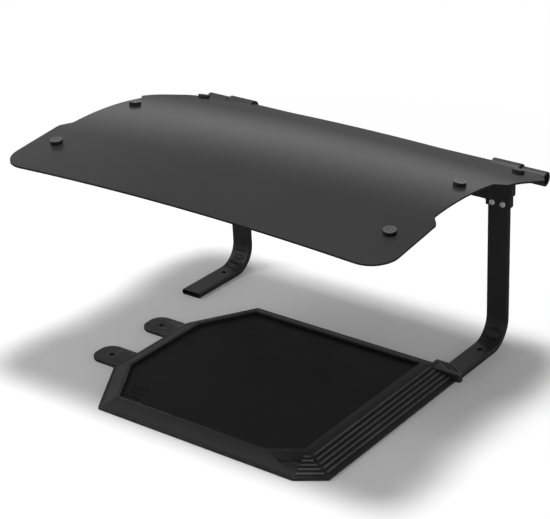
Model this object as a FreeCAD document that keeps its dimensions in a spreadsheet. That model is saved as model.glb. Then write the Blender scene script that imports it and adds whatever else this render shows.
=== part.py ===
import FreeCAD, Part
import math
import os
import re
import Sketcher

# Low garden garage: a curved roof panel on two side arms, tipping about a rear tube,
# held by two bent legs with a cross bar, and a moulded ground plate in front of the feet.
# X runs along the wide side of the roof, Y to the back, Z up; the floor is Z = 0.
# All sizes are millimetres, angles are degrees.

SIZES = {
    # roof panel, seen from above
    "panel_half_width": 365.0,
    "panel_waist": 15.0,
    "panel_thickness": 3.0,
    "panel_front": -259.0,
    "panel_tube_gap": 18.0,
    "panel_front_corner": 47.0,
    "panel_rear_corner": 36.0,
    "waist_front": -90.0,
    "waist_rear": 91.0,
    "waist_run": 19.0,
    "waist_corner": 12.0,
    # curve of the panel, front to back and side to side
    "apex_place": -34.0,
    "panel_above_tube": 6.94,
    "bend_radius": 736.0,
    "front_slope": 7.0,
    "rear_slope": 16.2,
    "crown_radius": 6055.0,
    # push rivets
    "rivet_inset": 45.0,
    "rivet_front": 93.0,
    "rivet_middle": 37.0,
    "rivet_rear": 53.5,
    "rivet_cap_width": 21.0,
    "rivet_cap_height": 6.4,
    "rivet_pin_width": 9.0,
    "rivet_shank": 8.0,
    "rivet_play": 0.4,
    "rivet_flare": 11.5,
    "rivet_tail": 9.0,
    # roof arms and rear tube
    "arm_width": 26.0,
    "arm_thickness": 3.0,
    "arm_overhang": 19.0,
    "seat_gap": 0.2,
    "tube_radius": 10.0,
    "tube_wall": 1.5,
    "sleeve_radius": 12.5,
    "sleeve_gap": 4.5,
    "tube_overhang": 13.0,
    "tube_place": 284.5,
    "tube_height": 320.0,
    # legs, bent from flat tube
    "leg_inset": 47.5,
    "leg_setback": 3.5,
    "leg_below_tube": 24.0,
    "leg_width": 40.0,
    "leg_depth": 10.0,
    "leg_wall": 1.5,
    "leg_corner": 3.0,
    "leg_lean": 4.6,
    "leg_bend": 38.0,
    "foot_length": 160.0,
    "foot_hole": 9.0,
    "foot_hole_place": 59.0,
    # brackets on the leg tops
    "bracket_wall": 2.0,
    "bracket_play": 0.2,
    "bracket_drop": 7.0,
    "bracket_neck": 15.0,
    "bracket_shoulder": 36.0,
    "eye_wall": 5.5,
    "eye_width": 52.0,
    "pivot_play": 0.1,
    # cross bar between the legs
    "bar_height": 38.0,
    "bar_depth": 10.0,
    "bar_wall": 1.5,
    # bolts and domed nuts
    "bolt_below_tube": 50.5,
    "bolt_spacing": 20.0,
    "bolt_width": 6.0,
    "bolt_play": 0.4,
    "bolt_head_width": 10.5,
    "bolt_head_height": 3.3,
    "bolt_socket": 4.0,
    "bolt_tail": 6.0,
    "nut_across_flats": 10.0,
    "nut_height": 5.0,
    "nut_dome": 4.8,
    # ground plate
    "plate_front": -300.1,
    "plate_left": -205.0,
    "plate_right_inset": 77.0,
    "foot_cover": 22.0,
    "plate_height": 16.0,
    "plate_draft": 63.0,
    "plate_skin": 3.0,
    "plate_drop": 4.0,
    "plate_rim": 32.0,
    "plate_ramp": 58.0,
    "plate_toe": 5.0,
    "bar_count": 5.0,
    "bar_first": 3.0,
    "bar_pitch": 9.5,
    "tread_width": 4.0,
    "tread_rise": 1.2,
    "tread_margin": 3.0,
    "corner_run": 45.0,
    "corner_rise": 32.0,
    "left_corner_run": 67.0,
    "left_corner_rise": 120.0,
    "plate_lip_width": 5.0,
    "plate_ledge": 10.0,
    "land_wall": 3.0,
    "land_cut_run": 30.0,
    "land_cut_rise": 21.3,
    "slot_length": 30.0,
    "slot_width": 2.2,
    "slot_depth": 2.0,
    "slot_inset": 4.5,
    "slot_pitch": 4.7,
    "slot_lead": 2.0,
    "slot_shift": 6.0,
    "land_shelf": 18.0,
    "land_lead": 8.0,
    "land_height": 13.5,
    "channel_play": 0.5,
    "lug_reach": 61.0,
    "lug_width": 58.0,
    "lug_thickness": 5.0,
    "lug_offset": 68.0,
    "lug_hole": 9.0,
    "lug_hole_reach": 32.0,
    "cells_side": 55.0,
    "cells_ramp": 88.0,
    "cells_end": 40.0,
    "cells_across": 5.0,
    "cells_along": 5.0,
    "cell_wall": 3.0,
}

doc = FreeCAD.newDocument("MowerGarage")
cells = doc.addObject("Spreadsheet::Sheet", "Sizes")
for row, (alias, number) in enumerate(SIZES.items(), start=1):
    cells.set("A%d" % row, alias)
    cells.set("B%d" % row, str(number))
    cells.setAlias("B%d" % row, alias)
doc.recompute()

PARTS = []


def value(expression):
    """Number that an expression on the size sheet gives."""
    return float(cells.evalExpression(expression))


def bound(expression):
    """The expression with each size word pointed at the size sheet."""
    return re.sub(r"[a-z_]+", lambda word: ("Sizes." if word[0] in SIZES else "") + word[0], expression)


def new_body(label):
    body = doc.addObject("PartDesign::Body", label)
    body.Label = label
    PARTS.append(body)
    return body


def new_sketch(body, name, role, shift=None):
    """Sketch on an origin plane of its body, moved in the plane's own axes."""
    sketch = body.newObject("Sketcher::SketchObject", name)
    plane = [item for item in body.Origin.OriginFeatures if item.Role == role][0]
    sketch.AttachmentSupport = [(plane, "")]
    sketch.MapMode = "FlatFace"
    for axis, expression in (shift or {}).items():
        sketch.setExpression("AttachmentOffset.Base." + axis, bound(expression))
    return sketch


def dimension(sketch, kind, where, expression):
    """Driving dimension whose size is an expression on the sheet."""
    number = sketch.addConstraint(Sketcher.Constraint(kind, *where, value(expression)))
    sketch.setExpression("Constraints[%d]" % number, bound(expression))


def slope(sketch, line, expression):
    """Angle of a line from the level, in degrees."""
    turn = math.radians(value(expression))
    number = sketch.addConstraint(Sketcher.Constraint("Angle", line, turn))
    sketch.setExpression("Constraints[%d]" % number, "(" + bound(expression) + ") * 1 deg")


def place(sketch, element, point, x=None, y=None):
    """Fix a point's distance from the sketch's origin."""
    if x is not None:
        dimension(sketch, "DistanceX", (-1, 1, element, point), x)
    if y is not None:
        dimension(sketch, "DistanceY", (-1, 1, element, point), y)


def join(sketch, joints):
    """Join ends of lines and arcs: kind, element, end, element, end."""
    for kind, element, end, other, other_end in joints:
        sketch.addConstraint(Sketcher.Constraint(kind, element, end, other, other_end))


def polygon(sketch, corners):
    """Closed outline with straight sides; each corner is a pair of expressions."""
    first = len(sketch.Geometry)
    points = [FreeCAD.Vector(value(x), value(y), 0) for x, y in corners]
    count = len(points)
    for number, point in enumerate(points):
        sketch.addGeometry(Part.LineSegment(point, points[(number + 1) % count]), False)
    for number, (x, y) in enumerate(corners):
        following = first + (number + 1) % count
        join(sketch, [("Coincident", first + number, 2, following, 1)])
        place(sketch, first + number, 1, x, y)


def rectangle(sketch, left, bottom, right, top):
    polygon(sketch, [(left, bottom), (right, bottom), (right, top), (left, top)])


def circle(sketch, x, y, radius):
    centre = FreeCAD.Vector(value(x), value(y), 0)
    number = sketch.addGeometry(Part.Circle(centre, UP, value(radius)), False)
    place(sketch, number, 3, x, y)
    dimension(sketch, "Radius", (number,), radius)


def rounded_outline(sketch, corners):
    """Closed outline of corners (x, y, radius or None) with arcs laid into construction lines."""
    first = len(sketch.Geometry)
    polygon(sketch, [corner[:2] for corner in corners])
    count = len(corners)
    points = [FreeCAD.Vector(value(x), value(y), 0) for x, y, radius in corners]
    enter = []
    leave = []
    for number, (x, y, radius) in enumerate(corners):
        back = (points[number - 1] - points[number]).normalize()
        ahead = (points[(number + 1) % count] - points[number]).normalize()
        turn = back.getAngle(ahead)
        run = value(radius) / math.tan(turn / 2) if radius else 0
        enter.append(points[number] + back * run)
        leave.append(points[number] + ahead * run)
    sides = []
    for number in range(count):
        sketch.setConstruction(first + number, True)
        side = Part.LineSegment(leave[number], enter[(number + 1) % count])
        sides.append(sketch.addGeometry(side, False))
        for end in (1, 2):
            sketch.addConstraint(Sketcher.Constraint("PointOnObject", sides[number], end, first + number))
    for number, (x, y, radius) in enumerate(corners):
        before, after = sides[number - 1], sides[number]
        if not radius:
            join(sketch, [("Coincident", before, 2, after, 1)])
            continue
        back = (points[number - 1] - points[number]).normalize()
        ahead = (points[(number + 1) % count] - points[number]).normalize()
        middle = (back + ahead).normalize()
        size = value(radius)
        centre = points[number] + middle * (size / math.sin(back.getAngle(ahead) / 2))
        arc = Part.Arc(enter[number], centre - middle * size, leave[number])
        corner = sketch.addGeometry(arc, False)
        starts_first = sketch.getPoint(corner, 1).distanceToPoint(enter[number]) < 1e-4
        near, far = (1, 2) if starts_first else (2, 1)
        join(sketch, [("Tangent", before, 2, corner, near), ("Tangent", corner, far, after, 1)])
        dimension(sketch, "Radius", (corner,), radius)


def rounded_rectangle(sketch, x, y, width, height, radius):
    """Rectangle about a centre, with four equal corner arcs."""
    first = len(sketch.Geometry)
    left, right = "%s - (%s) / 2" % (x, width), "%s + (%s) / 2" % (x, width)
    low, high = "%s - (%s) / 2" % (y, height), "%s + (%s) / 2" % (y, height)
    round_off = value(radius)
    x0, x1, y0, y1 = value(left), value(right), value(low), value(high)
    centres = [(x1 - round_off, y0 + round_off), (x1 - round_off, y1 - round_off),
               (x0 + round_off, y1 - round_off), (x0 + round_off, y0 + round_off)]
    starts = [(x0 + round_off, y0), (x1, y0 + round_off), (x1 - round_off, y1), (x0, y1 - round_off)]
    ends = [(x1 - round_off, y0), (x1, y1 - round_off), (x0 + round_off, y1), (x0, y0 + round_off)]
    for side in range(4):
        line = Part.LineSegment(FreeCAD.Vector(*starts[side], 0), FreeCAD.Vector(*ends[side], 0))
        sketch.addGeometry(line, False)
        corner = Part.Circle(FreeCAD.Vector(*centres[side], 0), UP, round_off)
        turn = (side - 1) * math.pi / 2
        sketch.addGeometry(Part.ArcOfCircle(corner, turn, turn + math.pi / 2), False)
    for side in range(4):
        line = first + 2 * side
        following = first + (2 * side + 2) % 8
        join(sketch, [("Tangent", line, 2, line + 1, 1), ("Tangent", line + 1, 2, following, 1)])
        sketch.addConstraint(Sketcher.Constraint("Vertical" if side % 2 else "Horizontal", line))
        if side:
            sketch.addConstraint(Sketcher.Constraint("Equal", first + 1, line + 1))
    dimension(sketch, "Radius", (first + 1,), radius)
    place(sketch, first, 1, y=low)
    place(sketch, first + 2, 1, x=right)
    place(sketch, first + 4, 1, y=high)
    place(sketch, first + 6, 1, x=left)


def pad(body, sketch, length, both_ways=False, reverse=False, draft=None):
    feature = body.newObject("PartDesign::Pad", sketch.Name + "_pad")
    feature.Profile = sketch
    feature.setExpression("Length", bound(length))
    feature.Midplane = both_ways
    feature.Reversed = reverse
    if draft is not None:
        feature.setExpression("TaperAngle", bound(draft))
    return feature


def pocket(body, sketch, length=None, reverse=False):
    """Cut from the sketch's plane; with no length it runs right through, both ways."""
    doc.recompute()
    before = body.Shape.Volume
    feature = body.newObject("PartDesign::Pocket", sketch.Name + "_cut")
    feature.Profile = sketch
    feature.Reversed = reverse
    if length is None:
        feature.Type = "ThroughAll"
        feature.Midplane = True
    else:
        feature.setExpression("Length", bound(length))
    doc.recompute()
    if body.Shape.Volume > before - 0.01:
        raise ValueError(sketch.Name + " cuts nothing")
    return feature


def revolve(body, sketch, axis, angle=None):
    """Turn a profile about a sketch axis; a given angle is spread to both sides."""
    feature = body.newObject("PartDesign::Revolution", sketch.Name + "_turned")
    feature.Profile = sketch
    feature.ReferenceAxis = (sketch, [axis])
    if angle is None:
        feature.Angle = 360
    else:
        feature.Midplane = True
        feature.setExpression("Angle", bound(angle))
    return feature


def drill(body, name, frame, radius, depth):
    """Round hole along the local Z of a frame, half to each side of it."""
    doc.recompute()
    before = body.Shape.Volume
    feature = body.newObject("PartDesign::SubtractiveCylinder", name)
    feature.setExpression("Radius", bound(radius))
    feature.setExpression("Height", bound(depth))
    feature.Placement = frame * FreeCAD.Placement(UP * (-value(depth) / 2), FreeCAD.Rotation())
    doc.recompute()
    if body.Shape.Volume > before - 0.01:
        raise ValueError(name + " cuts nothing")
    return feature


UP = FreeCAD.Vector(0, 0, 1)
ACROSS = FreeCAD.Vector(1, 0, 0)
SIDES = (("left", -1), ("right", 1))

# Places that several pieces share

RIVET_X = "(panel_half_width - rivet_inset)"
LEG_X = "(panel_half_width - rivet_inset - leg_inset)"
LEG_PLACE = "(tube_place - leg_setback)"
LEG_TOP = "(tube_height - leg_below_tube)"
BOLT_HEIGHT = "(tube_height - bolt_below_tube)"
FOOT_FRONT = "(tube_place - leg_setback - foot_length)"
RIVET_ROWS = {
    "front": "(panel_front + rivet_front)",
    "middle": "rivet_middle",
    "rear": "(tube_place - rivet_rear)",
}
PANEL_REAR = "(tube_place - panel_tube_gap)"
ARC_DROP = "(bend_radius * (1 - cos(rear_slope)))"
RUN_DROP = "(tan(rear_slope) * (tube_place - apex_place - bend_radius * sin(rear_slope)))"
SIDE_DROP = "(crown_radius - crown_radius * cos(asin(%s / crown_radius)))" % RIVET_X
APEX_HEIGHT = "(tube_height + panel_above_tube + %s + %s + %s)" % (ARC_DROP, RUN_DROP, SIDE_DROP)
CROWN_AXIS = {"y": APEX_HEIGHT + " - crown_radius"}
CROWN_TURN = "2 * asin((panel_half_width + 20) / (crown_radius - 150))"
BRACKET_SIDE = "(bracket_wall + bracket_play)"
TUBE_HOLE = "(tube_radius + pivot_play)"
EYE_RADIUS = "(tube_radius + pivot_play + eye_wall)"
SLEEVE_INNER = "(%s + eye_width / 2 + sleeve_gap)" % LEG_X
SLEEVE_OUTER = "(%s + arm_width / 2 + tube_overhang)" % RIVET_X
SOCKET_SIDE = "(leg_width / 2 + bracket_play + bracket_wall)"
PLATE_RIGHT = "(panel_half_width - plate_right_inset)"
PLATE_REAR = "(%s + foot_cover)" % FOOT_FRONT
PLATE_MIDDLE = "((plate_front + %s) / 2)" % PLATE_REAR


def curved_strip(sketch, depth, thickness, front, rear):
    """Side view of the bent panel, or of a bar that lies depth below its top.

    The sketch's level line is the axis of the crown. A straight front run and a
    straight rear run meet one arc, whose crest is the panel's highest line.
    """
    radius = value("bend_radius")
    middle = FreeCAD.Vector(value("apex_place"), value("crown_radius") - radius, 0)
    turns = (math.radians(value("front_slope")), -math.radians(value("rear_slope")))

    def corners(level, front_place, rear_place):
        """Front end, front of the arc, crest, rear of the arc, rear end."""
        size = radius - level
        arc_ends = [middle + FreeCAD.Vector(-math.sin(turn), math.cos(turn), 0) * size for turn in turns]
        ends = []
        for turn, start, far in zip(turns, arc_ends, (front_place, rear_place)):
            ends.append(FreeCAD.Vector(far, start.y + math.tan(turn) * (far - start.x), 0))
        return ends[0], arc_ends[0], middle + FreeCAD.Vector(0, size, 0), arc_ends[1], ends[1]

    top = corners(value(depth), value(front), value(rear))
    under = corners(value(depth) + value(thickness), value(front), value(rear))
    outline = [
        Part.LineSegment(top[0], top[1]), Part.Arc(top[1], top[2], top[3]),
        Part.LineSegment(top[3], top[4]), Part.LineSegment(top[4], under[4]),
        Part.LineSegment(under[4], under[3]), Part.Arc(under[3], under[2], under[1]),
        Part.LineSegment(under[1], under[0]), Part.LineSegment(under[0], top[0]),
    ]
    for line in outline:
        sketch.addGeometry(line, False)
    join(sketch, [
        ("Tangent", 0, 2, 1, 2), ("Tangent", 1, 1, 2, 1), ("Coincident", 2, 2, 3, 1),
        ("Coincident", 3, 2, 4, 1), ("Tangent", 4, 2, 5, 1), ("Tangent", 5, 2, 6, 1),
        ("Coincident", 6, 2, 7, 1), ("Coincident", 7, 2, 0, 1), ("Coincident", 1, 3, 5, 3),
    ])
    for line in (3, 7):
        sketch.addConstraint(Sketcher.Constraint("Vertical", line))
    sketch.addConstraint(Sketcher.Constraint("Parallel", 0, 6))
    sketch.addConstraint(Sketcher.Constraint("Parallel", 2, 4))
    place(sketch, 1, 3, "apex_place", "crown_radius - bend_radius")
    dimension(sketch, "Radius", (1,), "bend_radius - (%s)" % depth)
    dimension(sketch, "Radius", (5,), "bend_radius - (%s) - (%s)" % (depth, thickness))
    slope(sketch, 0, "front_slope")
    slope(sketch, 2, "-rear_slope")
    place(sketch, 0, 1, x=front)
    place(sketch, 2, 2, x=rear)


def panel_frame(along, side, depth=0.0):
    """Frame on the panel's top at a distance along it, with its Z square to the surface."""
    lean_front = math.radians(value("front_slope"))
    lean_rear = -math.radians(value("rear_slope"))
    radius = value("bend_radius")
    from_apex = along - value("apex_place")
    turn = min(max(-math.asin(from_apex / radius), lean_rear), lean_front)
    arc_place = -math.sin(turn) * radius
    drop = radius * (1 - math.cos(turn)) - math.tan(turn) * (from_apex - arc_place)
    reach = value("crown_radius") - drop
    across = side * value(RIVET_X)
    roll = math.asin(across / reach)
    centre = value(APEX_HEIGHT) - value("crown_radius")
    normal = FreeCAD.Vector(math.sin(roll) * math.cos(turn), -math.sin(turn), math.cos(roll) * math.cos(turn))
    point = FreeCAD.Vector(across, along, centre + reach * math.cos(roll))
    return FreeCAD.Placement(point - normal * depth, FreeCAD.Rotation(UP, normal))


def leg_frame(side, across=0.0, back=0.0, up=0.0, turn=0.0):
    """Frame on a leg's front face at bolt height: Y square to the face, Z up along the leg."""
    lean = value("leg_lean")
    low = FreeCAD.Vector(side * value(LEG_X), value(LEG_PLACE), 0)
    low += FreeCAD.Vector(0, -math.tan(math.radians(lean)), 1) * value(BOLT_HEIGHT)
    upright = FreeCAD.Placement(low, FreeCAD.Rotation(ACROSS, lean))
    return upright * FreeCAD.Placement(FreeCAD.Vector(across, back, up), FreeCAD.Rotation(ACROSS, turn))


def keep_inside(body, name, outline):
    """Trim a body in plan to an outline of corners."""
    sketch = new_sketch(body, name, "XY_Plane")
    margin = "(2 * panel_half_width)"
    rectangle(sketch, "-" + margin, "panel_front - " + margin, margin, "tube_place + " + margin)
    rounded_outline(sketch, outline)
    return pocket(body, sketch)


def roof_panel():
    """Thin panel bent over a wide arc, a little crowned, with a narrower waist between the ends."""
    body = new_body("roof_panel")
    side_view = new_sketch(body, "panel_side", "YZ_Plane", CROWN_AXIS)
    curved_strip(side_view, "0", "panel_thickness", "panel_front - 20", PANEL_REAR + " + 2")
    revolve(body, side_view, "H_Axis", CROWN_TURN)
    narrow = "(panel_half_width - panel_waist)"
    right = [
        ("panel_half_width", "panel_front", "panel_front_corner"),
        ("panel_half_width", "waist_front - waist_run", "waist_corner"),
        (narrow, "waist_front", "waist_corner"), (narrow, "waist_rear", "waist_corner"),
        ("panel_half_width", "waist_rear + waist_run", "waist_corner"),
        ("panel_half_width", PANEL_REAR, "panel_rear_corner"),
    ]
    left = [("-" + x, y, radius) for x, y, radius in reversed(right)]
    keep_inside(body, "panel_outline", right + left)
    for end, along in RIVET_ROWS.items():
        for word, side in SIDES:
            frame = panel_frame(value(along), side)
            drill(body, "panel_hole_%s_%s" % (end, word), frame, "(rivet_shank + rivet_play) / 2", "30")


def roof_arm(word, side):
    """Flat bar bent to lie under the panel, with a sleeve at its end for the rear tube."""
    body = new_body("roof_arm_" + word)
    side_view = new_sketch(body, "arm_side_" + word, "YZ_Plane", CROWN_AXIS)
    depth = "panel_thickness + seat_gap"
    curved_strip(side_view, depth, "arm_thickness", RIVET_ROWS["front"] + " - arm_overhang - 5", "tube_place - 4")
    revolve(body, side_view, "H_Axis", CROWN_TURN)
    inner = "%d * (%s - arm_width / 2)" % (side, RIVET_X)
    outer = "%d * (%s + arm_width / 2)" % (side, RIVET_X)
    front = RIVET_ROWS["front"] + " - arm_overhang"
    tip = "arm_width / 2 - 1"
    outline = [(inner, front, tip), (outer, front, tip), (outer, "tube_place", None), (inner, "tube_place", None)]
    if side < 0:
        outline.reverse()
    keep_inside(body, "arm_outline_" + word, outline)
    middle = {"z": "%d * (%s + %s) / 2" % (side, SLEEVE_INNER, SLEEVE_OUTER)}
    sleeve = new_sketch(body, "arm_sleeve_" + word, "YZ_Plane", middle)
    circle(sleeve, "tube_place", "tube_height", "sleeve_radius")
    pad(body, sleeve, "%s - %s" % (SLEEVE_OUTER, SLEEVE_INNER), both_ways=True)
    bore = new_sketch(body, "arm_bore_" + word, "YZ_Plane", middle)
    circle(bore, "tube_place", "tube_height", "tube_radius + seat_gap")
    pocket(body, bore)
    for end, along in RIVET_ROWS.items():
        frame = panel_frame(value(along), side)
        drill(body, "arm_hole_%s_%s" % (end, word), frame, "(rivet_shank + rivet_play) / 2", "30")


def rear_tube():
    """Round tube with open ends that the roof tips about."""
    body = new_body("rear_tube")
    end_view = new_sketch(body, "tube_end", "YZ_Plane")
    circle(end_view, "tube_place", "tube_height", "tube_radius")
    circle(end_view, "tube_place", "tube_height", "tube_radius - tube_wall")
    pad(body, end_view, "2 * " + SLEEVE_OUTER, both_ways=True)


def push_rivet(end, along, word, side):
    """Three-part push rivet: broad cap, spread shank and the pin's button in the cap."""
    body = new_body("push_rivet_%s_%s" % (end, word))
    profile = new_sketch(body, "rivet_%s_%s" % (end, word), "XZ_Plane")
    grip = "(panel_thickness + seat_gap + arm_thickness)"
    polygon(profile, [
        ("0", "rivet_cap_height - 0.6"), ("rivet_pin_width / 2", "rivet_cap_height - 0.6"),
        ("rivet_pin_width / 2 + 0.6", "rivet_cap_height"), ("rivet_cap_width / 2 - 0.9", "rivet_cap_height"),
        ("rivet_cap_width / 2", "rivet_cap_height - 0.9"), ("rivet_cap_width / 2", "seat_gap"),
        ("rivet_shank / 2", "seat_gap"), ("rivet_shank / 2", "-" + grip + " - seat_gap"),
        ("rivet_flare / 2", "-" + grip + " - 2"), ("rivet_shank / 2 - 1", "-" + grip + " - rivet_tail + 1"),
        ("0", "-" + grip + " - rivet_tail + 1"),
    ])
    revolve(body, profile, "V_Axis")
    body.Placement = panel_frame(value(along), side)


def leg(word, side):
    """Flat tube bent into an upright and a foot that runs forward on the floor."""
    body = new_body("leg_" + word)
    path = new_sketch(body, "leg_path_" + word, "YZ_Plane")
    lean = math.radians(value("leg_lean"))
    radius = value("leg_bend + leg_depth / 2")
    middle_line = "(%s - tan(leg_lean) * %s + leg_depth / (2 * cos(leg_lean)))" % (LEG_PLACE, LEG_TOP)
    top = FreeCAD.Vector(value(middle_line), value(LEG_TOP), 0)
    foot = FreeCAD.Vector(value(FOOT_FRONT), value("leg_depth / 2"), 0)
    corner = FreeCAD.Vector(top.x + math.tan(lean) * (top.y - foot.y), foot.y, 0)
    run = radius * math.tan((math.pi / 2 + lean) / 2)
    enter = FreeCAD.Vector(corner.x - run, corner.y, 0)
    leave = corner + (top - corner).normalize() * run
    centre = FreeCAD.Vector(enter.x, enter.y + radius, 0)
    path.addGeometry(Part.LineSegment(foot, enter), False)
    path.addGeometry(Part.ArcOfCircle(Part.Circle(centre, UP, radius), -math.pi / 2, lean), False)
    path.addGeometry(Part.LineSegment(leave, top), False)
    join(path, [("Tangent", 0, 2, 1, 1), ("Tangent", 1, 2, 2, 1)])
    path.addConstraint(Sketcher.Constraint("Horizontal", 0))
    place(path, 0, 1, FOOT_FRONT, "leg_depth / 2")
    dimension(path, "Radius", (1,), "leg_bend + leg_depth / 2")
    slope(path, 2, "90 + leg_lean")
    place(path, 2, 2, middle_line, LEG_TOP)
    section = new_sketch(body, "leg_section_" + word, "XZ_Plane", {"z": "-" + FOOT_FRONT})
    rounded_rectangle(section, "0", "leg_depth / 2", "leg_width", "leg_depth", "leg_corner")
    hollow = ["%s - 2 * leg_wall" % side_length for side_length in ("leg_width", "leg_depth")]
    rounded_rectangle(section, "0", "leg_depth / 2", *hollow, "leg_corner - leg_wall")
    pipe = body.newObject("PartDesign::AdditivePipe", "leg_bent_" + word)
    pipe.Profile = section
    pipe.Spine = path
    ground_hole = new_sketch(body, "foot_hole_" + word, "XY_Plane")
    circle(ground_hole, "0", LEG_PLACE + " - foot_hole_place", "foot_hole / 2")
    pocket(body, ground_hole)
    body.setExpression("Placement.Base.x", bound("%d * %s" % (side, LEG_X)))
    for number, across in enumerate((-1, 1), start=1):
        frame = leg_frame(0, across * value("bolt_spacing") / 2, value("leg_depth") / 2, 0, -90)
        drill(body, "leg_hole_%s_%d" % (word, number), frame, "(bolt_width + bolt_play) / 2", "30")


def bracket(word, side):
    """Socket over the leg's top with an eye behind it that the rear tube turns in."""
    body = new_body("leg_bracket_" + word)
    drop = "bolt_below_tube"
    behind = "(leg_setback + tan(leg_lean) * %s)" % BOLT_HEIGHT
    eye_y = "(%s * cos(leg_lean) + %s * sin(leg_lean))" % (behind, drop)
    eye_z = "(%s * cos(leg_lean) - %s * sin(leg_lean))" % (drop, behind)
    leg_end = "((bolt_below_tube - leg_below_tube - leg_depth / 2 * sin(leg_lean)) / cos(leg_lean))"
    sleeve = new_sketch(body, "sleeve_" + word, "YZ_Plane")
    rectangle(sleeve, "-" + BRACKET_SIDE, "-bracket_drop", "leg_depth + " + BRACKET_SIDE, "bracket_shoulder")
    pad(body, sleeve, "2 * " + SOCKET_SIDE, both_ways=True)
    outer = {"z": "%d * (eye_width / 2 - %s) / 2" % (side, SOCKET_SIDE)}
    neck = new_sketch(body, "neck_" + word, "YZ_Plane", outer)
    polygon(neck, [
        ("-" + BRACKET_SIDE, "bracket_neck"), ("leg_depth + " + BRACKET_SIDE, "bracket_neck"),
        ("leg_depth + " + BRACKET_SIDE, "%s - %s + 1" % (eye_z, EYE_RADIUS)),
        (eye_y, "%s - %s" % (eye_z, EYE_RADIUS)),
        ("%s - %s * sin(40)" % (eye_y, EYE_RADIUS), "%s + %s * cos(40)" % (eye_z, EYE_RADIUS)),
        ("-" + BRACKET_SIDE, "bracket_shoulder"),
    ])
    pad(body, neck, "eye_width / 2 + " + SOCKET_SIDE, both_ways=True)
    eye = new_sketch(body, "eye_" + word, "YZ_Plane")
    circle(eye, eye_y, eye_z, EYE_RADIUS)
    pad(body, eye, "eye_width", both_ways=True)
    bore = new_sketch(body, "bore_" + word, "YZ_Plane")
    circle(bore, eye_y, eye_z, TUBE_HOLE)
    pocket(body, bore)
    socket = new_sketch(body, "socket_" + word, "XY_Plane", {"z": "-bracket_drop"})
    size = ["%s + 2 * bracket_play" % length for length in ("leg_width", "leg_depth")]
    rounded_rectangle(socket, "0", "leg_depth / 2", *size, "leg_corner")
    pocket(body, socket, "bracket_drop + seat_gap + " + leg_end, reverse=True)
    body.Placement = leg_frame(side)
    for number, across in enumerate((-1, 1), start=1):
        turned = FreeCAD.Placement(FreeCAD.Vector(across * value("bolt_spacing") / 2, value("leg_depth") / 2, 0),
                                   FreeCAD.Rotation(ACROSS, -90))
        drill(body, "bracket_hole_%s_%d" % (word, number), turned, "(bolt_width + bolt_play) / 2", "30")


def cross_bar():
    """Flat tube that ties the two leg brackets together."""
    body = new_body("cross_bar")
    end_view = new_sketch(body, "bar_end", "YZ_Plane")
    rounded_rectangle(end_view, "bar_depth / 2", "bar_height / 2", "bar_depth", "bar_height", "leg_corner")
    hollow = ["%s - 2 * bar_wall" % length for length in ("bar_depth", "bar_height")]
    rounded_rectangle(end_view, "bar_depth / 2", "bar_height / 2", *hollow, "leg_corner - bar_wall")
    pad(body, end_view, "2 * (%s - %s)" % (LEG_X, SOCKET_SIDE), both_ways=True)
    body.Placement = leg_frame(0)


def leg_bolt(word, side, number, across):
    """Bolt with a low round head and a six-sided socket."""
    body = new_body("leg_bolt_%s_%d" % (word, number))
    profile = new_sketch(body, "bolt_%s_%d" % (word, number), "XZ_Plane")
    grip = "(leg_depth + 2 * %s)" % BRACKET_SIDE
    polygon(profile, [
        ("0", "-bolt_head_height"), ("bolt_head_width * 0.3", "-bolt_head_height"),
        ("bolt_head_width * 0.44", "-bolt_head_height * 0.6"), ("bolt_head_width / 2", "-bolt_head_height * 0.15"),
        ("bolt_head_width / 2", "0"), ("bolt_width / 2", "0"),
        ("bolt_width / 2", grip + " + bolt_tail"), ("0", grip + " + bolt_tail"),
    ])
    revolve(body, profile, "V_Axis")
    socket = new_sketch(body, "bolt_socket_%s_%d" % (word, number), "XY_Plane", {"z": "-bolt_head_height"})
    hexagon(socket, "bolt_socket")
    pocket(body, socket, "bolt_head_height * 0.6", reverse=True)
    offset = across * value("bolt_spacing") / 2
    body.Placement = leg_frame(side, offset, -value(BRACKET_SIDE), 0, -90)


def hexagon(sketch, across_flats):
    corners = []
    for turn in range(0, 360, 60):
        corners.append(("%s / sqrt(3) * cos(%d)" % (across_flats, turn), "%s / sqrt(3) * sin(%d)" % (across_flats, turn)))
    polygon(sketch, corners)


def domed_nut(word, side, number, across):
    """Six-sided nut with a closed round dome."""
    body = new_body("domed_nut_%s_%d" % (word, number))
    outline = new_sketch(body, "nut_%s_%d" % (word, number), "XY_Plane")
    hexagon(outline, "nut_across_flats")
    pad(body, outline, "nut_height")
    dome = new_sketch(body, "dome_%s_%d" % (word, number), "XZ_Plane")
    wide = "nut_across_flats * 0.47"
    polygon(dome, [
        ("0", "nut_height - 1"), (wide, "nut_height - 1"), (wide, "nut_height + nut_dome * 0.25"),
        (wide + " * 0.8", "nut_height + nut_dome * 0.75"), (wide + " * 0.35", "nut_height + nut_dome"),
        ("0", "nut_height + nut_dome"),
    ])
    revolve(body, dome, "V_Axis")
    bore = new_sketch(body, "nut_bore_%s_%d" % (word, number), "XY_Plane")
    circle(bore, "0", "0", "bolt_width / 2 + 0.05")
    pocket(body, bore, "bolt_tail + seat_gap", reverse=True)
    offset = across * value("bolt_spacing") / 2
    body.Placement = leg_frame(side, offset, value("leg_depth + " + BRACKET_SIDE), 0, -90)


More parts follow.
